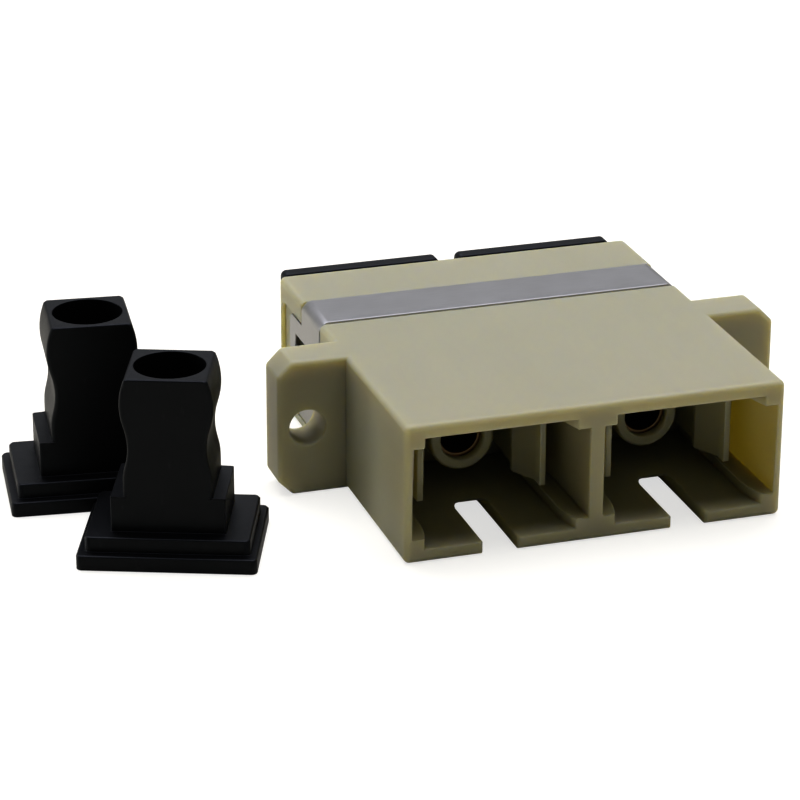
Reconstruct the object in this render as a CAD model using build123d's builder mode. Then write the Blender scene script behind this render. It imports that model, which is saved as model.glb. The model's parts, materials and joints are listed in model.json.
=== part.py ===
# Duplex fibre optic adapter with a panel clip and four dust caps.
# Millimetres. X runs across the two sockets, Y runs rearwards along them, and Z is up.
# The origin is midway between the two panel screws, on the flange's rear face.

import os
from math import cos, radians, sin

from build123d import *

os.makedirs("parts", exist_ok=True)

# Housing
socket_pitch = 12.7
body_width = 25.4
body_height = 9.3
body_length = 28.1
front_length = 12.4
body_edge_round = 0.4
mouth_round = 0.4
rim_chamfer = 0.12
ear_width = 4.6
flange_thick = 3.0
flange_chamfer = 1.0
flange_corner_round = 0.4
flange_round = 0.3
screw_from_body = 2.6
screw_hole_dia = 2.4
screw_rim_chamfer = 0.15

# Sockets: guide rails in the four corners, a relief on each side for the latch arms
socket_height = 7.46
relief_width = 11.7
guide_width = 9.1
guide_height = 0.68
mouth_guide_width = 10.16
mouth_lead = 2.6
key_width = 2.3
key_length = 6.2
key_run_out = 2.8
key_corner_round = 0.45
key_mouth_round = 0.3

# Seat of the panel clip: a channel over the top and a wide recess down each side
channel_depth = 0.22
recess_depth = 0.3
recess_length = 12.2
recess_ledge = 0.7
recess_corner_round = 1.0
clip_side_wall = 0.55

# Panel clip
clip_sheet = 0.3
strap_width = 4.2
strap_middle = 5.15
leg_width = 9.8
leg_shoulder = 7.65
leg_corner_round = 0.5
bend_inner_radius = 0.45
panel_gap = 2.1
tongue_height = 2.2
tongue_root = 3.6
tongue_angle = 17.5
tongue_slit = 0.15
tongue_side_slit = 0.75
wall_window_ledge = 0.15

# Sleeve holders and alignment sleeves
plate_thick = 1.2
barrel_dia = 4.3
barrel_reach = 6.45
lip_hole_dia = 2.9
lip_chamfer = 0.12
barrel_chamfer = 0.2
arm_height = 4.4
arm_reach = 10.25
arm_gap = 7.0
arm_root_thick = 1.0
arm_tip_gap = 7.8
arm_tip_thick = 0.42
arm_tip_length = 1.0
hook_gap = 6.0
hook_peak = 7.4
hook_land = 0.5
hook_ramp = 1.6
hook_catch = 0.65
arm_root_round = 0.3
sleeve_dia = 3.2
ferrule_dia = 2.5
sleeve_length = 11.4
sleeve_slot = 0.45

# Dust caps: two stepped plates, a block and a plug with waved sides
cap_flange = (11.3, 8.5, 1.0)
cap_plate = (10.35, 7.2, 1.0)
cap_block = (7.2, 5.26, 2.35)
cap_corner_round = 0.4
cap_edge_chamfer = 0.12
block_edge_round = 0.12
plug_length = 7.85
plug_end_width = 5.1
bulge_width = 5.84
bulge_from_end = 1.85
waist_width = 4.95
waist_from_end = 4.65
low_bulge_width = 5.6
low_bulge_from_end = 6.95
plug_edge_round = 0.25
cap_hole_depth = 4.2

# Where the two caps that were taken off stand: X, Y and turn about Z
loose_front_place = (-25.6, -8.0, -21.0)
loose_rear_place = (-28.4, 2.5, -7.0)

# Clearances
plate_clearance = 0.05
bore_clearance = 0.05
sleeve_end_clearance = 0.05
channel_clearance = 0.12
clip_clearance = 0.02
ledge_clearance = 0.2
barrel_cap_clearance = 0.1
cap_seat_clearance = 0.1
overrun = 1.0

# Places worked out from the sizes
flange_width = body_width + 2 * ear_width
screw_spacing = body_width + 2 * screw_from_body
front_y = -(front_length + flange_thick)
rear_y = front_y + body_length
seam_y = front_y + body_length / 2
base_z = -body_height / 2
top_z = body_height / 2
floor_z = -socket_height / 2
relief_height = socket_height - 2 * guide_height
pocket_front = seam_y - plate_thick - plate_clearance
pocket_rear = seam_y + plate_thick + plate_clearance
channel_floor_z = top_z - channel_depth
recess_floor_x = body_width / 2 - recess_depth
strap_front = strap_middle - strap_width / 2
shoulder_z = base_z + leg_shoulder
tongue_root_y = strap_middle + tongue_root
tilt = radians(tongue_angle)
tongue_length = (tongue_root_y - panel_gap - clip_sheet / 2 * sin(tilt)) / cos(tilt)
window_length = tongue_length + tongue_slit
window_height = tongue_height + 2 * tongue_side_slit
window_y = tongue_root_y - window_length / 2
cap_hole_dia = barrel_dia + 2 * barrel_cap_clearance
sleeve_room = sleeve_length / 2 + sleeve_end_clearance


def section(y):
    """Plane across the sockets at y: its X is +X, its Y is +Z and it faces forwards."""
    return Plane(origin=(0, y, 0), x_dir=(1, 0, 0), z_dir=(0, -1, 0))


# Flange, made by itself so that its edges are rounded before the body joins it
with BuildPart() as flange:
    with BuildSketch(section(-flange_thick)) as flange_outline:
        Rectangle(flange_width, body_height)
        chamfer(flange_outline.vertices(), length=flange_chamfer)
        fillet(flange_outline.vertices(), radius=flange_corner_round)
    extrude(amount=-flange_thick)
    front_and_rear = flange.faces().filter_by(Axis.Y)
    fillet(front_and_rear.edges(), radius=flange_round)


# Cutter for a keyway: it runs in from the mouth, and its end slopes away under the floor
with BuildPart() as keyway:
    floor_thick = floor_z - base_z
    slope = key_run_out / floor_thick
    key_low_z = base_z - overrun
    key_end_y = front_y + key_length
    with BuildSketch(Plane.YZ):
        with BuildLine():
            Polyline(
                (front_y - overrun, key_low_z),
                (key_end_y + slope * (floor_z - key_low_z), key_low_z),
                (key_end_y, floor_z),
                (front_y - overrun, floor_z),
                close=True,
            )
        make_face()
    extrude(amount=key_width / 2, both=True)
    end_wall = keyway.faces().sort_by(Axis.Y)[-1]
    fillet(end_wall.edges().filter_by(Axis.X, reverse=True), radius=key_corner_round)


# Cutter that rounds the two corners of the floor where a keyway opens at the mouth
with BuildPart() as key_mouth:
    wide_x = key_width / 2 + key_mouth_round
    round_end_y = front_y + key_mouth_round
    with BuildSketch(Plane.XY.offset(key_low_z)):
        with BuildLine():
            Polyline((-wide_x, front_y), (-wide_x, front_y - overrun), (wide_x, front_y - overrun), (wide_x, front_y))
            TangentArc((wide_x, front_y), (key_width / 2, round_end_y), tangent=(-1, 0))
            Line((key_width / 2, round_end_y), (-key_width / 2, round_end_y))
            TangentArc((-wide_x, front_y), (-key_width / 2, round_end_y), tangent=(1, 0))
        make_face()
    extrude(amount=floor_z - key_low_z)


# Cutter for the flared mouth of one socket: the guide rails curve apart towards the front
with BuildPart() as mouth:
    lead_end_y = front_y + mouth_lead
    with BuildSketch(Plane.XY.offset(floor_z)):
        with BuildLine():
            Line((-mouth_guide_width / 2, front_y), (mouth_guide_width / 2, front_y))
            TangentArc((guide_width / 2, lead_end_y), (mouth_guide_width / 2, front_y), tangent=(0, -1))
            Line((guide_width / 2, lead_end_y), (-guide_width / 2, lead_end_y))
            TangentArc((-guide_width / 2, lead_end_y), (-mouth_guide_width / 2, front_y), tangent=(0, -1))
        make_face()
    extrude(amount=socket_height)


# Housing
with BuildPart() as outer_housing:
    with BuildSketch(section(front_y)):
        Rectangle(body_width, body_height)
    extrude(amount=-body_length)
    fillet(outer_housing.edges().filter_by(Axis.Y), radius=body_edge_round)
    end_faces = outer_housing.faces().filter_by(Axis.Y)
    fillet(end_faces.edges(), radius=mouth_round)
    add(flange.part)

    # Front sockets, with a relief on both sides
    with BuildSketch(section(front_y)):
        with GridLocations(socket_pitch, 0, 2, 1):
            Rectangle(guide_width, socket_height)
            Rectangle(relief_width, relief_height)
    extrude(amount=-(pocket_front - front_y), mode=Mode.SUBTRACT)

    # Rear sockets, whose outer relief is shallower so that the clip's recess keeps its wall
    outer_relief = recess_floor_x - clip_side_wall - socket_pitch / 2
    rear_relief = relief_width / 2 + outer_relief
    rear_shift = (outer_relief - relief_width / 2) / 2
    with BuildSketch(section(rear_y)):
        with GridLocations(socket_pitch, 0, 2, 1):
            Rectangle(guide_width, socket_height)
        with GridLocations(socket_pitch + 2 * rear_shift, 0, 2, 1):
            Rectangle(rear_relief, relief_height)
    extrude(amount=rear_y - pocket_rear, mode=Mode.SUBTRACT)

    # Pocket in the middle that holds the two base plates of each socket
    with BuildSketch(section(pocket_front)):
        with GridLocations(socket_pitch, 0, 2, 1):
            Rectangle(relief_width, socket_height)
    extrude(amount=-(pocket_rear - pocket_front), mode=Mode.SUBTRACT)

    # Flared mouths and keyways, the rear ones turned half round about the middle
    turn = Axis((0, seam_y, 0), (0, 0, 1))
    for cutter in (mouth.part, keyway.part, key_mouth.part):
        with GridLocations(socket_pitch, 0, 2, 1):
            add(cutter, mode=Mode.SUBTRACT)
            add(cutter.rotate(turn, 180), mode=Mode.SUBTRACT)

    # The rim round each opening
    for end in (0, -1):
        end_face = outer_housing.faces().sort_by(Axis.Y)[end]
        rims = end_face.edges().filter_by(
            lambda e: abs(e.center().X) < body_width / 2 - mouth_round - 0.1
            and abs(e.center().Z) < body_height / 2 - mouth_round - 0.1
        )
        chamfer(rims, length=rim_chamfer)

    # Channel for the strap, round over both shoulders
    channel_front = strap_front - channel_clearance
    channel_length = strap_width + 2 * channel_clearance
    channel_corner = bend_inner_radius + clip_clearance
    outside_x = body_width / 2 + overrun
    with BuildSketch(section(channel_front)):
        with BuildLine():
            FilletPolyline(
                (-recess_floor_x, shoulder_z),
                (-recess_floor_x, channel_floor_z),
                (recess_floor_x, channel_floor_z),
                (recess_floor_x, shoulder_z),
                radius=channel_corner,
            )
            Polyline(
                (recess_floor_x, shoulder_z),
                (outside_x, shoulder_z),
                (outside_x, top_z + overrun),
                (-outside_x, top_z + overrun),
                (-outside_x, shoulder_z),
                (-recess_floor_x, shoulder_z),
            )
        make_face()
    extrude(amount=-channel_length, mode=Mode.SUBTRACT)

    # Wide recess for each leg, from the flange rearwards
    recess_low = base_z + recess_ledge
    recess_high = shoulder_z + channel_clearance
    for side in (-1, 1):
        with BuildSketch(Plane.YZ.offset(side * recess_floor_x)) as recess:
            with Locations((recess_length / 2, (recess_low + recess_high) / 2)):
                Rectangle(recess_length, recess_high - recess_low)
            fillet(recess.vertices().group_by(Axis.X)[-1], radius=recess_corner_round)
        extrude(amount=side * (recess_depth + overrun), mode=Mode.SUBTRACT)

        # Window through the wall behind the clip's own window
        with BuildSketch(Plane.YZ.offset(side * recess_floor_x)):
            with Locations((window_y, 0)):
                Rectangle(window_length - 2 * wall_window_ledge, window_height - 2 * wall_window_ledge)
        extrude(amount=-side * (clip_side_wall + overrun), mode=Mode.SUBTRACT)

    # Screw holes in the flange
    with BuildSketch(section(0)):
        with GridLocations(screw_spacing, 0, 2, 1):
            Circle(screw_hole_dia / 2)
    extrude(amount=flange_thick, mode=Mode.SUBTRACT)
    hole_rims = outer_housing.edges().filter_by(lambda e: e.geom_type == GeomType.CIRCLE)
    hole_rims = hole_rims.filter_by(lambda e: abs(e.radius - screw_hole_dia / 2) < 0.01)
    chamfer(hole_rims, length=screw_rim_chamfer)
outer_housing.part.label = "outer_housing"
export_step(outer_housing.part, "parts/outer_housing.step")


def sleeve_holder(name, side, facing):
    """Base plate, barrel and two latch arms in one moulding; facing is -1 to the front, 1 to the rear."""
    middle = (side * socket_pitch / 2, seam_y, 0)
    seam = Plane(origin=middle, x_dir=(1, 0, 0), z_dir=(0, facing, 0))
    plan = Plane(origin=middle, x_dir=(1, 0, 0), z_dir=(0, 0, facing))
    with BuildPart() as holder:
        with BuildSketch(seam):
            Rectangle(relief_width - 2 * plate_clearance, socket_height - 2 * plate_clearance)
        extrude(amount=plate_thick)
        with BuildSketch(seam):
            Circle(barrel_dia / 2)
        extrude(amount=barrel_reach)
        barrel_end = holder.faces().sort_by(Axis(middle, (0, facing, 0)))[-1]
        chamfer(barrel_end.edges(), length=barrel_chamfer)

        # Latch arms, drawn in plan
        with BuildSketch(plan):
            with BuildLine():
                Polyline(
                    (arm_gap / 2, plate_thick),
                    (arm_gap / 2 + arm_root_thick, plate_thick),
                    (arm_tip_gap / 2 + arm_tip_thick, arm_reach),
                    (arm_tip_gap / 2, arm_reach),
                    (arm_tip_gap / 2, arm_reach - arm_tip_length),
                    (hook_gap / 2, arm_reach - arm_tip_length - hook_ramp),
                    (hook_gap / 2, hook_peak - hook_land / 2),
                    (arm_gap / 2, hook_peak - hook_land / 2 - hook_catch),
                    close=True,
                )
            make_face()
            mirror(about=Plane.YZ)
        extrude(amount=arm_height / 2, both=True)
        root_x = arm_gap / 2 + arm_root_thick
        root_y = seam_y + facing * plate_thick
        outer_roots = holder.edges().filter_by(Axis.Z).filter_by(
            lambda e: abs(abs(e.center().X - middle[0]) - root_x) < 0.01 and abs(e.center().Y - root_y) < 0.01
        )
        fillet(outer_roots, radius=arm_root_round)

        # Windows through the plate that let the mould form the hooks
        with BuildSketch(seam):
            window = (arm_gap - hook_gap) / 2
            with GridLocations(hook_gap + window, 0, 2, 1):
                Rectangle(window, arm_height)
        extrude(amount=plate_thick, mode=Mode.SUBTRACT)

        # Bore for the sleeve, and the lip that keeps it in
        with BuildSketch(seam):
            Circle(sleeve_dia / 2 + bore_clearance)
        extrude(amount=sleeve_room, mode=Mode.SUBTRACT)
        with BuildSketch(seam):
            Circle(lip_hole_dia / 2)
        extrude(amount=barrel_reach, mode=Mode.SUBTRACT)
        barrel_end = holder.faces().filter_by(GeomType.PLANE).filter_by(
            lambda face: abs(face.center().Y - (seam_y + facing * barrel_reach)) < 0.01
        )
        lip_rim = barrel_end.edges().filter_by(lambda e: abs(e.radius - lip_hole_dia / 2) < 0.01)
        chamfer(lip_rim, length=lip_chamfer)
    holder.part.label = name
    export_step(holder.part, f"parts/{name}.step")


for side, side_name in ((-1, "left"), (1, "right")):
    sleeve_holder(f"front_{side_name}_sleeve_holder", side, -1)
    sleeve_holder(f"rear_{side_name}_sleeve_holder", side, 1)


# Alignment sleeves, slit along the top so that they grip a ferrule
for side, side_name in ((-1, "left"), (1, "right")):
    sleeve_middle = Plane(origin=(side * socket_pitch / 2, seam_y, 0), x_dir=(1, 0, 0), z_dir=(0, -1, 0))
    with BuildPart() as sleeve:
        with BuildSketch(sleeve_middle):
            Circle(sleeve_dia / 2)
            Circle(ferrule_dia / 2, mode=Mode.SUBTRACT)
            with Locations((0, sleeve_dia / 2)):
                Rectangle(sleeve_slot, sleeve_dia, mode=Mode.SUBTRACT)
        extrude(amount=sleeve_length / 2, both=True)
    sleeve.part.label = f"{side_name}_alignment_sleeve"
    export_step(sleeve.part, f"parts/{side_name}_alignment_sleeve.step")


# Panel clip: a strap over the housing, two wide legs, and a tongue punched out of each leg
leg_inner_x = recess_floor_x + clip_clearance
leg_low = base_z + recess_ledge + ledge_clearance
leg_front = strap_middle - leg_width / 2
leg_rear = strap_middle + leg_width / 2
with BuildPart() as panel_clip:
    sheet_middle_x = leg_inner_x + clip_sheet / 2
    sheet_middle_z = channel_floor_z + clip_sheet / 2
    with BuildSketch(section(strap_front)):
        with BuildLine():
            FilletPolyline(
                (-sheet_middle_x, shoulder_z - clip_sheet),
                (-sheet_middle_x, sheet_middle_z),
                (sheet_middle_x, sheet_middle_z),
                (sheet_middle_x, shoulder_z - clip_sheet),
                radius=bend_inner_radius + clip_sheet / 2,
            )
        trace(line_width=clip_sheet)
    extrude(amount=-strap_width)
    for side in (-1, 1):
        with BuildSketch(Plane.YZ.offset(side * leg_inner_x)) as leg:
            with Locations((strap_middle, (leg_low + shoulder_z) / 2)):
                Rectangle(leg_width, shoulder_z - leg_low)
            fillet(leg.vertices(), radius=leg_corner_round)
            with Locations((window_y, 0)):
                Rectangle(window_length, window_height, mode=Mode.SUBTRACT)
        extrude(amount=side * clip_sheet)

        # The tongue leans out from its root at the rear of the window, towards the flange
        reach_x = side * (sheet_middle_x + tongue_length * sin(tilt))
        reach_y = tongue_root_y - tongue_length * cos(tilt)
        with BuildSketch(Plane.XY.offset(-tongue_height / 2)):
            with BuildLine():
                Polyline(
                    (side * sheet_middle_x, tongue_root_y + clip_sheet),
                    (side * sheet_middle_x, tongue_root_y),
                    (reach_x, reach_y),
                )
            trace(line_width=clip_sheet)
        extrude(amount=tongue_height)
panel_clip.part.label = "panel_clip"
export_step(panel_clip.part, "parts/panel_clip.step")


def dust_cap(name, seat):
    """Cap on its outer plate; seat is the plane of that plate's outer face, facing along the plug."""
    side_view = Plane(origin=seat.origin, x_dir=seat.x_dir, z_dir=-seat.y_dir)
    along_plug = Axis(seat.origin, seat.z_dir)
    depth = cap_block[1]
    plug_start = cap_flange[2] + cap_plate[2] + cap_block[2]
    cap_length = plug_start + plug_length
    with BuildPart() as cap:
        level = 0
        for width, height, thick in (cap_flange, cap_plate):
            with BuildSketch(seat.offset(level)):
                RectangleRounded(width, height, cap_corner_round)
            step = extrude(amount=thick)
            chamfer(step.faces().sort_by(along_plug)[-1].edges(), length=cap_edge_chamfer)
            level += thick
        with BuildSketch(seat.offset(level)):
            RectangleRounded(cap_block[0], depth, block_edge_round)
        extrude(amount=cap_block[2])

        # Plug: its two sides swell, draw in to a waist and swell again, in arcs that meet smoothly
        root = Vector(low_bulge_width / 2, plug_start - overrun)
        low_bulge = Vector(low_bulge_width / 2, cap_length - low_bulge_from_end)
        waist = Vector(waist_width / 2, cap_length - waist_from_end)
        bulge = Vector(bulge_width / 2, cap_length - bulge_from_end)
        end = Vector(plug_end_width / 2, cap_length)
        with BuildSketch(side_view):
            with BuildLine():
                Polyline((0, root.Y), root, low_bulge)
                for wide in (low_bulge, bulge):
                    half_way = (wide + waist) / 2
                    to_waist = Vector(0, waist.Y - wide.Y)
                    TangentArc(wide, half_way, tangent=to_waist)
                    TangentArc(waist, half_way, tangent=-to_waist)
                TangentArc(bulge, end, tangent=(0, 1))
                Polyline(end, (0, cap_length), (0, root.Y))
            make_face()
            mirror(about=Plane.YZ)
        extrude(amount=depth / 2, both=True)
        waved_edges = cap.edges().filter_by(GeomType.CIRCLE).filter_by(lambda e: e.radius > cap_corner_round)
        fillet(waved_edges, radius=plug_edge_round)
        chamfer(cap.faces().sort_by(along_plug)[-1].edges(), length=cap_edge_chamfer)
        with BuildSketch(seat.offset(cap_length)):
            Circle(cap_hole_dia / 2)
        extrude(amount=-cap_hole_depth, mode=Mode.SUBTRACT)
    cap.part.label = name
    export_step(cap.part, f"parts/{name}.step")


# Caps in the rear sockets: their plates stop just short of the housing
cap_outer_y = rear_y + cap_seat_clearance + cap_flange[2] + cap_plate[2]
for side, side_name in ((-1, "left"), (1, "right")):
    plug_in = Plane(origin=(side * socket_pitch / 2, cap_outer_y, 0), x_dir=(1, 0, 0), z_dir=(0, -1, 0))
    dust_cap(f"rear_{side_name}_dust_cap", plug_in)

# Caps that were taken off, standing on their outer plates beside the housing
for name, (x, y, angle) in (
    ("loose_front_dust_cap", loose_front_place),
    ("loose_rear_dust_cap", loose_rear_place),
):
    facing_along = (cos(radians(angle)), sin(radians(angle)), 0)
    dust_cap(name, Plane(origin=(x, y, base_z), x_dir=facing_along, z_dir=(0, 0, 1)))
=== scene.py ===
# %% [markdown]
# Duplex fibre optic adapter: the looks.
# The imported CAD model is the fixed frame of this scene. It is in metres, with +X across the two
# sockets, +Y rearwards along them and +Z up. Nothing in it is moved or resized. This lesson sets up the
# camera and a pale studio, gives each moulded, stamped and ground surface its own finish, and softens the
# edges that a mould or a press would never leave razor sharp.

# %% Load the frame
import json
import math

import bmesh
import bpy
from mathutils import Matrix, Vector


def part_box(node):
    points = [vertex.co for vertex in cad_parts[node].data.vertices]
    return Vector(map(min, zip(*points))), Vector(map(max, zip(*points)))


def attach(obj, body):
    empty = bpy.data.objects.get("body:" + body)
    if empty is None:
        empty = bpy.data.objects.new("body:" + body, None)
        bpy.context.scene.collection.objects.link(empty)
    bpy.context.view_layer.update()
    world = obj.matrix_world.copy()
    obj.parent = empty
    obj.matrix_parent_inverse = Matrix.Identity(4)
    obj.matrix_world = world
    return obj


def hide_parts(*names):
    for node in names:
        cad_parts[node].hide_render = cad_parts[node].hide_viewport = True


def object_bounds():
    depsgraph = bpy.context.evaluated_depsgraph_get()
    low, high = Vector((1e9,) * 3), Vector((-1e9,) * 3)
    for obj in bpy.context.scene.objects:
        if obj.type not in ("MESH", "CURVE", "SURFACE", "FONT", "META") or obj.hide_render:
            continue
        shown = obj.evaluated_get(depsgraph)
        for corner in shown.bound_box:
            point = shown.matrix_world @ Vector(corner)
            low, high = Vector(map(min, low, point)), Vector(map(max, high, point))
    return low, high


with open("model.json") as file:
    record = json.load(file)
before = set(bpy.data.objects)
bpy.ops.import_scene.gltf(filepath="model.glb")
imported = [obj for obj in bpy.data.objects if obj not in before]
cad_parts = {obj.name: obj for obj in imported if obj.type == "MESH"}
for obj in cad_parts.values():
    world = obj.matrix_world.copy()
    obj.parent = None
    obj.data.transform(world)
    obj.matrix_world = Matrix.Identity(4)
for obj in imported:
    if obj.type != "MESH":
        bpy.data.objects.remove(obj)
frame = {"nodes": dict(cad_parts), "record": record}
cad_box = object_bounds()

MM = 0.001
scene = bpy.context.scene
nodes = frame["nodes"]
record = frame["record"]
body_of_node = {node: body for body, members in record["behaviour"]["bodies"].items() for node in members}
print("CAD box in mm:", [round(v / MM, 2) for corner in cad_box for v in corner])

# %% [markdown]
# The camera.
# The photograph is a long-lens product shot: the edges that run away from the lens stay almost parallel. A
# camera fitted to the housing's edges stands about 220 mm away and a little above, with a 153 mm lens on a
# 36 mm sensor. A tiny roll comes from the fit too. The view is opened by a few percent, so that the
# cap that stands furthest left is whole.

# %% Camera
LENS_MM = 153.1
SENSOR_MM = 36
OPEN_UP = 1.03
CAMERA_PLACE = Vector((-70.5, -192.3, 83.5)) * MM
AIM_POINT = Vector((-7.45, 1.86, -0.95)) * MM
CAMERA_ROLL = math.radians(0.2)
NEAREST_SEEN = 0.01
FURTHEST_SEEN = 10

camera_data = bpy.data.cameras.new("camera")
camera_data.sensor_width = SENSOR_MM
camera_data.lens = LENS_MM / OPEN_UP
camera_data.clip_start = NEAREST_SEEN
camera_data.clip_end = FURTHEST_SEEN
camera = bpy.data.objects.new("camera", camera_data)
line_of_sight = AIM_POINT - CAMERA_PLACE
turn = line_of_sight.to_track_quat("-Z", "Y").to_matrix().to_4x4()
camera.matrix_world = Matrix.Translation(CAMERA_PLACE) @ turn @ Matrix.Rotation(CAMERA_ROLL, 4, "Z")
scene.collection.objects.link(camera)
scene.camera = camera
print("camera distance in mm:", round(line_of_sight.length / MM, 1))

# %% [markdown]
# The lights.
# The key light is a wide, slightly cool soft box overhead and a little behind. It makes the top faces bright
# and leaves the fronts in shade, as in the photograph. A wide card far behind lays a neutral sheen on the top
# and the clip's strap. A strip on the left lifts the clip's leg and the ends of the flange. A weak warm strip
# on the right lights that side, and is hidden from gloss so that no metal turns yellow. A dim card in front
# keeps the sockets' insides readable.

# %% Lights
KEY_COLOUR = (0.98, 0.985, 1.10)
WARM_COLOUR = (1.0, 0.72, 0.46)


def soft_box(name, place, size, watts, colour=(1, 1, 1)):
    """Rectangular area light at place, turned towards the adapter; place and size are in metres."""
    data = bpy.data.lights.new(name, "AREA")
    data.shape = "RECTANGLE"
    data.size, data.size_y = size
    data.energy = watts
    data.color = colour
    light = bpy.data.objects.new(name, data)
    light.location = place
    light.rotation_euler = (-Vector(place)).to_track_quat("-Z", "Y").to_euler()
    scene.collection.objects.link(light)
    return light


soft_box("overhead_box", (0.02, 0.10, 0.42), (0.55, 0.45), 1.68, KEY_COLOUR)
soft_box("back_card", (0.05, 0.62, 0.27), (1.1, 0.34), 0.26)
soft_box("left_strip", (-0.40, 0.20, 0.11), (0.12, 0.30), 0.40)
right_strip = soft_box("right_strip", (0.40, -0.02, 0.10), (0.14, 0.30), 0.08, WARM_COLOUR)
right_strip.visible_glossy = False
soft_box("front_card", (0.05, -0.55, 0.33), (0.9, 0.30), 0.12)

# %% [markdown]
# The room.
# Three kinds of ray meet the room. Diffuse light from it is a dim warm fill. Gloss sees pale grey walls, so
# that the steel reads as steel from every side. The camera, in a low view, sees the white backdrop.

# %% Room
ROOM_FILL = ((1.0, 0.94, 0.62, 1), 0.035)
ROOM_IN_GLOSS = ((0.96, 0.98, 1.0, 1), 0.20)
ROOM_BACKDROP = ((1.0, 1.0, 1.0, 1), 1.0)

world = bpy.data.worlds.new("studio")
world.use_nodes = True
room = world.node_tree
room.nodes.clear()
rays = room.nodes.new("ShaderNodeLightPath")


def wall(colour, strength):
    """One uniform background of the room."""
    background = room.nodes.new("ShaderNodeBackground")
    background.inputs["Color"].default_value = colour
    background.inputs["Strength"].default_value = strength
    return background


surroundings = wall(*ROOM_FILL)
for kind_of_ray, what_it_sees in (("Is Glossy Ray", ROOM_IN_GLOSS), ("Is Camera Ray", ROOM_BACKDROP)):
    choice = room.nodes.new("ShaderNodeMixShader")
    room.links.new(rays.outputs[kind_of_ray], choice.inputs[0])
    room.links.new(surroundings.outputs[0], choice.inputs[1])
    room.links.new(wall(*what_it_sees).outputs[0], choice.inputs[2])
    surroundings = choice
room.links.new(surroundings.outputs[0], room.nodes.new("ShaderNodeOutputWorld").inputs[0])
scene.world = world
scene.view_settings.view_transform = "Standard"
scene.view_settings.look = "High Contrast"
print("room has", len(room.nodes), "nodes; colour look:", scene.view_settings.look)

# %% [markdown]
# A small kit for shader maths.
# A finish is a tree of nodes, and most of the work is arithmetic on masks. The Field class wraps one
# output socket, so that an expression such as 0.4 + 0.1 * grain adds its own Math nodes. Every other kind of
# node comes from one method, which takes the node's settings first and then what goes into its sockets.


# %% Shader kit
class Field:
    """A value that varies over a surface: one output socket of a finish's node tree."""

    def __init__(self, finish, socket):
        self.finish = finish
        self.socket = socket

    def maths(self, operation, first, second):
        return self.finish.node("ShaderNodeMath", {"operation": operation}, {0: first, 1: second})

    def __add__(self, other):
        return self.maths("ADD", self, other)

    def __sub__(self, other):
        return self.maths("SUBTRACT", self, other)

    def __rsub__(self, other):
        return self.maths("SUBTRACT", other, self)

    def __mul__(self, other):
        return self.maths("MULTIPLY", self, other)

    __radd__ = __add__
    __rmul__ = __mul__


class Finish:
    """A material with one Principled shader; constants go on its sockets, and fields are linked to them."""

    def __init__(self, name, **constants):
        self.material = bpy.data.materials.new(name)
        self.material.use_nodes = True
        self.tree = self.material.node_tree
        self.tree.nodes.clear()
        self.shader = self.tree.nodes.new("ShaderNodeBsdfPrincipled")
        self.output = self.tree.nodes.new("ShaderNodeOutputMaterial")
        self.tree.links.new(self.shader.outputs[0], self.output.inputs[0])
        for socket, value in constants.items():
            self.shader.inputs[socket.replace("_", " ").title()].default_value = value

    def feed(self, socket, value):
        """Puts a field or a constant into one input socket."""
        if isinstance(value, Field):
            self.tree.links.new(value.socket, socket)
        else:
            socket.default_value = value

    def node(self, kind, settings=None, inputs=None, out=0):
        """Adds one node: its settings, then its sockets' values or fields; returns one of its outputs."""
        node = self.tree.nodes.new(kind)
        for name, value in (settings or {}).items():
            if name == "stops":
                ramp = node.color_ramp.elements
                while len(ramp) < len(value):
                    ramp.new(1.0)
                for element, (place, shade) in zip(ramp, value):
                    element.position = place
                    element.color = (*shade, 1) if isinstance(shade, tuple) else (shade, shade, shade, 1)
            else:
                setattr(node, name, value)
        for name, value in (inputs or {}).items():
            self.feed(node.inputs[name], value)
        return Field(self, node.outputs[out])

    def place(self, stretch=(1, 1, 1)):
        """Object coordinates, stretched along X, Y and Z."""
        here = self.node("ShaderNodeTexCoord", out="Object")
        return self.node("ShaderNodeMapping", {"vector_type": "POINT"}, {"Vector": here, "Scale": stretch})

    def noise(self, grain_mm, detail=3.0, stretch=(1, 1, 1), roughness=0.5):
        """Cloudy noise from 0 to 1 whose lumps are about grain_mm across."""
        sizes = {"Scale": 1 / (grain_mm * MM), "Detail": detail, "Roughness": roughness}
        return self.node("ShaderNodeTexNoise", {}, {"Vector": self.place(stretch), **sizes})

    def ramp(self, field, *stops):
        """Grey levels by stops of (place, shade)."""
        return self.node("ShaderNodeValToRGB", {"stops": stops}, {"Fac": field})

    def blend(self, amount, first, second):
        """Mixes two colours, each a colour or a field."""
        settings = {"data_type": "RGBA"}
        first, second = [(*c, 1) if isinstance(c, tuple) else c for c in (first, second)]
        return self.node("ShaderNodeMix", settings, {0: amount, 6: first, 7: second}, out=2)

    def colour(self, value):
        self.feed(self.shader.inputs["Base Color"], value)

    def roughness(self, value):
        self.feed(self.shader.inputs["Roughness"], value)

    def bump(self, height, depth_mm):
        """Relief depth_mm deep where height goes from 0 to 1."""
        inputs = {"Height": height, "Distance": depth_mm * MM, "Strength": 1.0}
        self.feed(self.shader.inputs["Normal"], self.node("ShaderNodeBump", {}, inputs))


# %% [markdown]
# The floor.
# The adapter lies on a large pale sheet. A bare white sheet renders light grey, and a lamp strong enough to
# burn it out would burn out the object too. So the floor that the camera sees is mixed with a little
# emission, by way of Light Path's Is Camera Ray. Light that bounces from it to the object is that of plain
# warm card.

# %% Floor
FLOOR_SIZE = 6.0
FLOOR_GAP = 0.02 * MM
FLOOR_GLOW = 0.36
FLOOR_EMISSION = 1.35
FLOOR_COLOUR = (0.86, 0.83, 0.70, 1)
floor_z = cad_box[0].z - FLOOR_GAP

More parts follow.
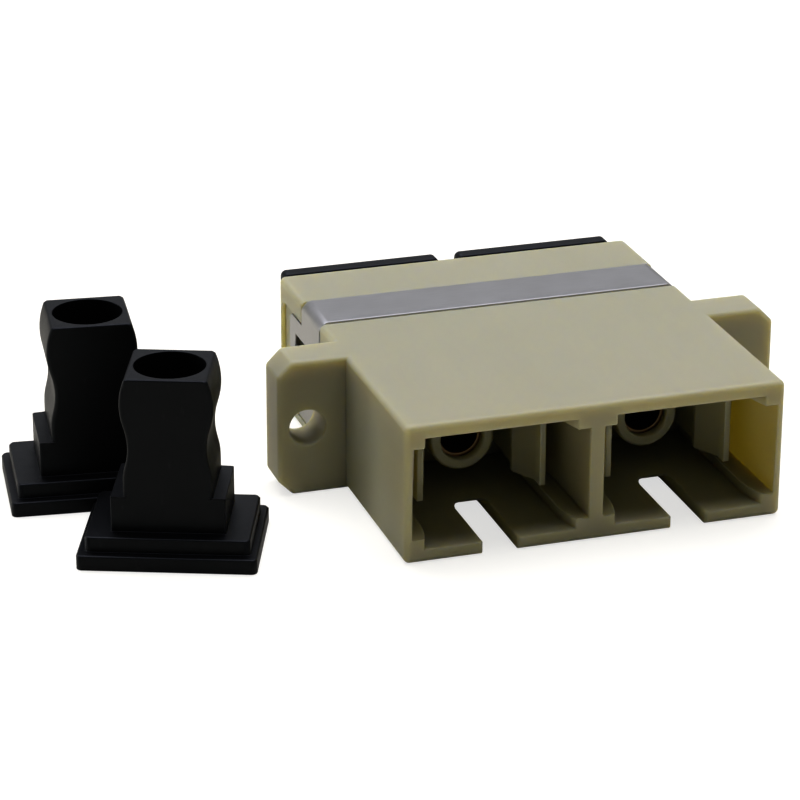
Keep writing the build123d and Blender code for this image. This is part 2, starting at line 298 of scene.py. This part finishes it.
floor_finish = Finish("pale_floor", roughness=0.65)
floor_finish.shader.inputs["Specular IOR Level"].default_value = 0.2
floor_finish.colour(FLOOR_COLOUR)
glow = floor_finish.node("ShaderNodeEmission", {}, {"Strength": FLOOR_EMISSION})
seen = floor_finish.node("ShaderNodeLightPath", out="Is Camera Ray")
plain = Field(floor_finish, floor_finish.shader.outputs[0])
mixed = floor_finish.node("ShaderNodeMixShader", {}, {0: FLOOR_GLOW * seen, 1: plain, 2: glow})
floor_finish.feed(floor_finish.output.inputs[0], mixed)
floor_mesh = bpy.data.meshes.new("floor")
half = FLOOR_SIZE / 2
floor_corners = [(x * half, y * half, floor_z) for x, y in ((-1, -1), (1, -1), (1, 1), (-1, 1))]
floor_mesh.from_pydata(floor_corners, [], [(0, 1, 2, 3)])
floor = bpy.data.objects.new("floor", floor_mesh)
floor_mesh.materials.append(floor_finish.material)
scene.collection.objects.link(floor)
print("floor height in mm:", round(floor_z / MM, 3))

# %% [markdown]
# Beige moulded plastic.
# The housing and the sleeve holders are one beige engineering plastic with a fine spark-eroded surface.
# Three things make it read as plastic: a faint cloudiness in the colour, a grain about a tenth of a
# millimetre across that breaks up the gloss, and light that enters the thin walls and comes out
# warmer. The last is subsurface scattering, where red travels furthest, so the thin outer wall of the
# right socket glows amber.

# %% Beige plastic
GLOW_DEPTH_MM = 2.6
GLOW_REACH = (1.0, 0.84, 0.38)
BEIGE_DULL = (0.435, 0.420, 0.295)
BEIGE_CLEAN = (0.475, 0.460, 0.33)
BEIGE_FLOW = (0.365, 0.355, 0.245)

beige = Finish("beige_moulded_plastic", subsurface_weight=1.0, subsurface_scale=GLOW_DEPTH_MM * MM)
beige.shader.inputs["Subsurface Radius"].default_value = GLOW_REACH
beige.shader.inputs["Specular IOR Level"].default_value = 0.42
cloud = beige.noise(9.0, detail=2.0)
grain = beige.noise(0.11, detail=2.0, roughness=0.6)
flow = beige.noise(1.4, detail=4.0, stretch=(1.0, 0.25, 1.0))
tint = beige.blend(cloud, BEIGE_DULL, BEIGE_CLEAN)
beige.colour(beige.blend(0.10 * grain + 0.12 * flow, tint, BEIGE_FLOW))
beige.roughness(0.36 + 0.10 * grain + 0.10 * flow)
beige.bump(grain, 0.004)
print("beige finish has", len(beige.tree.nodes), "nodes")

# %% [markdown]
# Rolled spring steel.
# The clip is cut from cold-rolled strip. Rolling leaves fine lines along the strip, which here run along the
# strap and down both legs. So the noise is drawn out along X and Z, and keeps its fine grain along Y only.
# The lines change the gloss more than the colour.

# %% Spring steel
DRAWN_OUT = (0.06, 1.0, 0.06)
STEEL_DARK = (0.33, 0.325, 0.325)
STEEL_BRIGHT = (0.48, 0.475, 0.47)

steel = Finish("rolled_spring_steel", metallic=1.0)
lines = steel.noise(0.09, detail=3.0, stretch=DRAWN_OUT, roughness=0.65)
smear = steel.noise(2.2, detail=3.0, stretch=(1.0, 1.0, 0.6))
steel.colour(steel.blend(0.7 * lines + 0.3 * smear, STEEL_DARK, STEEL_BRIGHT))
steel.roughness(0.30 + 0.10 * lines + 0.08 * smear)
steel.bump(lines, 0.0015)
print("steel finish has", len(steel.tree.nodes), "nodes")

# %% [markdown]
# Drawn phosphor bronze.
# A multimode adapter's sleeves are rolled from thin bronze sheet. The metal is a dull brown, a little
# stained, and polished along its length where ferrules slide in and out. Only its ends can be seen, deep in
# the barrels.

# %% Bronze
BRONZE_STAINED = (0.17, 0.12, 0.07)
BRONZE_CLEAN = (0.30, 0.22, 0.13)

bronze = Finish("drawn_phosphor_bronze", metallic=1.0)
stain = bronze.noise(0.8, detail=3.0)
draw_lines = bronze.noise(0.06, detail=2.0, stretch=(1.0, 0.05, 1.0))
bronze.colour(bronze.blend(0.6 * stain + 0.3 * draw_lines, BRONZE_STAINED, BRONZE_CLEAN))
bronze.roughness(0.26 + 0.14 * draw_lines + 0.10 * stain)
bronze.bump(draw_lines, 0.0008)
print("bronze finish has", len(bronze.tree.nodes), "nodes")

# %% [markdown]
# Black cap plastic.
# The dust caps are a soft black plastic from a smoother mould. Its gloss is patchy, and handling has left
# a few hair-thin scuffs, which are only slightly lighter than the rest.

# %% Black plastic
BLACK = (0.0042, 0.0042, 0.0044)
SCUFFED = (0.02, 0.02, 0.02)

black = Finish("black_moulded_plastic")
black.shader.inputs["Specular IOR Level"].default_value = 0.32
black.shader.inputs["Specular Tint"].default_value = (0.86, 0.92, 1.0, 1)
patch = black.noise(1.6, detail=4.0)
fine = black.noise(0.14, detail=3.0, roughness=0.6)
scuffs = black.ramp(black.noise(0.5, detail=5.0, stretch=(1.0, 0.12, 0.3)), (0.66, 0.0), (0.72, 1.0))
black.colour(black.blend(0.25 * scuffs, BLACK, SCUFFED))
black.roughness(0.34 + 0.14 * patch + 0.06 * fine)
black.bump(fine, 0.004)
print("black finish has", len(black.tree.nodes), "nodes")

# %% [markdown]
# Broken edges.
# The CAD pieces have their large rounds, but many small edges are still razor sharp, and a razor edge never
# catches the light. A stamped strip has a burnished roll along its cut edges, and a mould leaves a
# small radius on every corner. So each piece gets a copy whose triangles are merged, whose flat faces are
# joined again, and whose edges are then rounded by a Bevel modifier. Weighted normals keep the large faces
# flat. The copy takes the place of the CAD node, and rides on the same body.

# %% Copies with broken edges
MERGE_MM = 0.001
FLAT_WITHIN = math.radians(0.5)
EDGE_FROM = math.radians(50)


def adopt(piece, node):
    """The piece stands for a CAD node: it rides on the node's body, and the node is hidden."""
    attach(piece, body_of_node[node])
    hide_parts(node)


def baked(piece):
    """Turns a piece's modifiers into its mesh."""
    evaluated = piece.evaluated_get(bpy.context.evaluated_depsgraph_get())
    mesh = bpy.data.meshes.new_from_object(evaluated)
    piece.modifiers.clear()
    piece.data = mesh
    return mesh


def broken_edges(node, round_mm, finish, segments=2):
    """A copy of a CAD node with its sharp edges rounded, in the given finish."""
    mesh = bpy.data.meshes.new(node)
    shell = bmesh.new()
    shell.from_mesh(nodes[node].data)
    bmesh.ops.remove_doubles(shell, verts=shell.verts, dist=MERGE_MM * MM)
    bmesh.ops.dissolve_limit(shell, angle_limit=FLAT_WITHIN, verts=shell.verts, edges=shell.edges)
    for face in shell.faces:
        face.smooth = True
    shell.to_mesh(mesh)
    shell.free()
    if "custom_normal" in mesh.attributes:
        mesh.attributes.remove(mesh.attributes["custom_normal"])
    piece = bpy.data.objects.new(node + "_finished", mesh)
    scene.collection.objects.link(piece)
    bevel = piece.modifiers.new("rolled edge", "BEVEL")
    bevel.width = round_mm * MM
    bevel.segments = segments
    bevel.limit_method = "ANGLE"
    bevel.angle_limit = EDGE_FROM
    bevel.use_clamp_overlap = False
    normals = piece.modifiers.new("flat faces", "WEIGHTED_NORMAL")
    normals.mode = "FACE_AREA"
    mesh = baked(piece)
    mesh.materials.clear()
    mesh.materials.append(finish.material)
    adopt(piece, node)
    print(piece.name, len(mesh.polygons), "faces, edges rounded by", round_mm, "mm")


# %% Housing and sleeve holders
HOUSING_EDGE_MM = 0.08
HOLDER_EDGE_MM = 0.06
broken_edges("outer_housing", HOUSING_EDGE_MM, beige)
for node in [name for name in nodes if name.endswith("holder")]:
    broken_edges(node, HOLDER_EDGE_MM, beige)

# %% Clip and caps
CLIP_EDGE_MM = 0.07
CAP_EDGE_MM = 0.05
broken_edges("panel_clip", CLIP_EDGE_MM, steel, segments=3)
for node in [name for name in nodes if name.endswith("dust_cap")]:
    broken_edges(node, CAP_EDGE_MM, black)

# %% [markdown]
# Slit sleeves by Geometry Nodes.
# Each sleeve is one strip rolled into a tube that doesn't quite close, so that it grips a ferrule like a
# spring. That is a rule, and a node tree can say it: an arc that stops short by the slit is the
# path, and a rounded rectangle, as thick as the strip and as long as the sleeve, is swept along it. The
# tree's sizes are named inputs, so one tree makes both sleeves.

# %% Tree kit
class Recipe:
    """A Geometry Nodes tree with named inputs, grown node by node."""

    def __init__(self, name, sizes):
        self.tree = bpy.data.node_groups.new(name, "GeometryNodeTree")
        self.tree.interface.new_socket("Geometry", in_out="OUTPUT", socket_type="NodeSocketGeometry")
        for label, value in sizes.items():
            kind = "NodeSocketVector" if isinstance(value, Vector) else "NodeSocketFloat"
            self.tree.interface.new_socket(label, in_out="INPUT", socket_type=kind).default_value = value
        self.entry = self.tree.nodes.new("NodeGroupInput")

    def given(self, label):
        return self.entry.outputs[label]

    def add(self, kind, settings=None, inputs=None, out=0):
        """Adds one node with its settings and inputs; returns one of its outputs."""
        node = self.tree.nodes.new(kind)
        for name, value in (settings or {}).items():
            setattr(node, name, value)
        for name, value in (inputs or {}).items():
            if isinstance(value, bpy.types.NodeSocket):
                self.tree.links.new(value, node.inputs[name])
            else:
                node.inputs[name].default_value = value
        return node.outputs[out]

    def maths(self, operation, first, second=0.0):
        return self.add("ShaderNodeMath", {"operation": operation}, {0: first, 1: second})

    def finish(self, geometry, finish):
        """Ends the tree: real geometry, in the finish's material."""
        real = self.add("GeometryNodeRealizeInstances", {}, {"Geometry": geometry})
        dressed = self.add("GeometryNodeSetMaterial", {}, {"Geometry": real, "Material": finish.material})
        exit_node = self.tree.nodes.new("NodeGroupOutput")
        self.tree.links.new(dressed, exit_node.inputs[0])

    def make(self, name, values):
        """A mesh object from the tree, with values for some of its named inputs."""
        piece = bpy.data.objects.new(name, bpy.data.meshes.new(name))
        scene.collection.objects.link(piece)
        modifier = piece.modifiers.new("recipe", "NODES")
        modifier.node_group = self.tree
        for item in self.tree.interface.items_tree:
            if item.in_out == "INPUT" and item.name in values:
                modifier[item.identifier] = values[item.name]
        baked(piece)
        return piece


# %% Alignment sleeves
ARC_STEPS = 72
EDGE_STEPS = 3
QUARTER_TURN = math.pi / 2
SHARP_FROM = math.radians(40)

slit_sleeve = Recipe("slit_sleeve", {
    "Outside": 3.2 * MM,
    "Sheet": 0.35 * MM,
    "Length": 11.4 * MM,
    "Slit": 0.45 * MM,
    "Edge Round": 0.08 * MM,
    "Middle": Vector((0, 0, 0)),
})
given = slit_sleeve.given
maths = slit_sleeve.maths
mean_radius = maths("MULTIPLY", maths("SUBTRACT", given("Outside"), given("Sheet")), 0.5)
slit_angle = maths("DIVIDE", given("Slit"), mean_radius)
arc = slit_sleeve.add("GeometryNodeCurveArc", {"mode": "RADIUS"}, {
    "Resolution": ARC_STEPS,
    "Radius": mean_radius,
    "Start Angle": maths("ADD", maths("MULTIPLY", slit_angle, 0.5), QUARTER_TURN),
    "Sweep Angle": maths("SUBTRACT", 4 * QUARTER_TURN, slit_angle),
})
strip = slit_sleeve.add("GeometryNodeCurvePrimitiveQuadrilateral", {"mode": "RECTANGLE"}, {
    "Width": given("Sheet"), "Height": given("Length"),
})
strip = slit_sleeve.add("GeometryNodeFilletCurve", {"mode": "POLY"}, {
    "Curve": strip, "Count": EDGE_STEPS, "Radius": given("Edge Round"),
})
tube = slit_sleeve.add("GeometryNodeCurveToMesh", {}, {
    "Curve": arc, "Profile Curve": strip, "Fill Caps": True,
})
lying = slit_sleeve.add("GeometryNodeTransform", {}, {
    "Geometry": tube, "Rotation": (QUARTER_TURN, 0, 0), "Translation": given("Middle"),
})
slit_sleeve.finish(lying, bronze)

for node in [name for name in nodes if name.endswith("alignment_sleeve")]:
    low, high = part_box(node)
    middle = (Vector(low) + Vector(high)) / 2
    sleeve = slit_sleeve.make(node + "_finished", {"Middle": middle, "Length": high[1] - low[1]})
    sleeve.data.shade_smooth()
    sleeve.data.set_sharp_from_angle(angle=SHARP_FROM)
    adopt(sleeve, node)
    corners = [v.co for v in sleeve.data.vertices]
    spans = [(max(c[i] for c in corners) - min(c[i] for c in corners)) / MM for i in range(3)]
    print(sleeve.name, len(sleeve.data.polygons), "faces, spans in mm:", [round(span, 2) for span in spans])
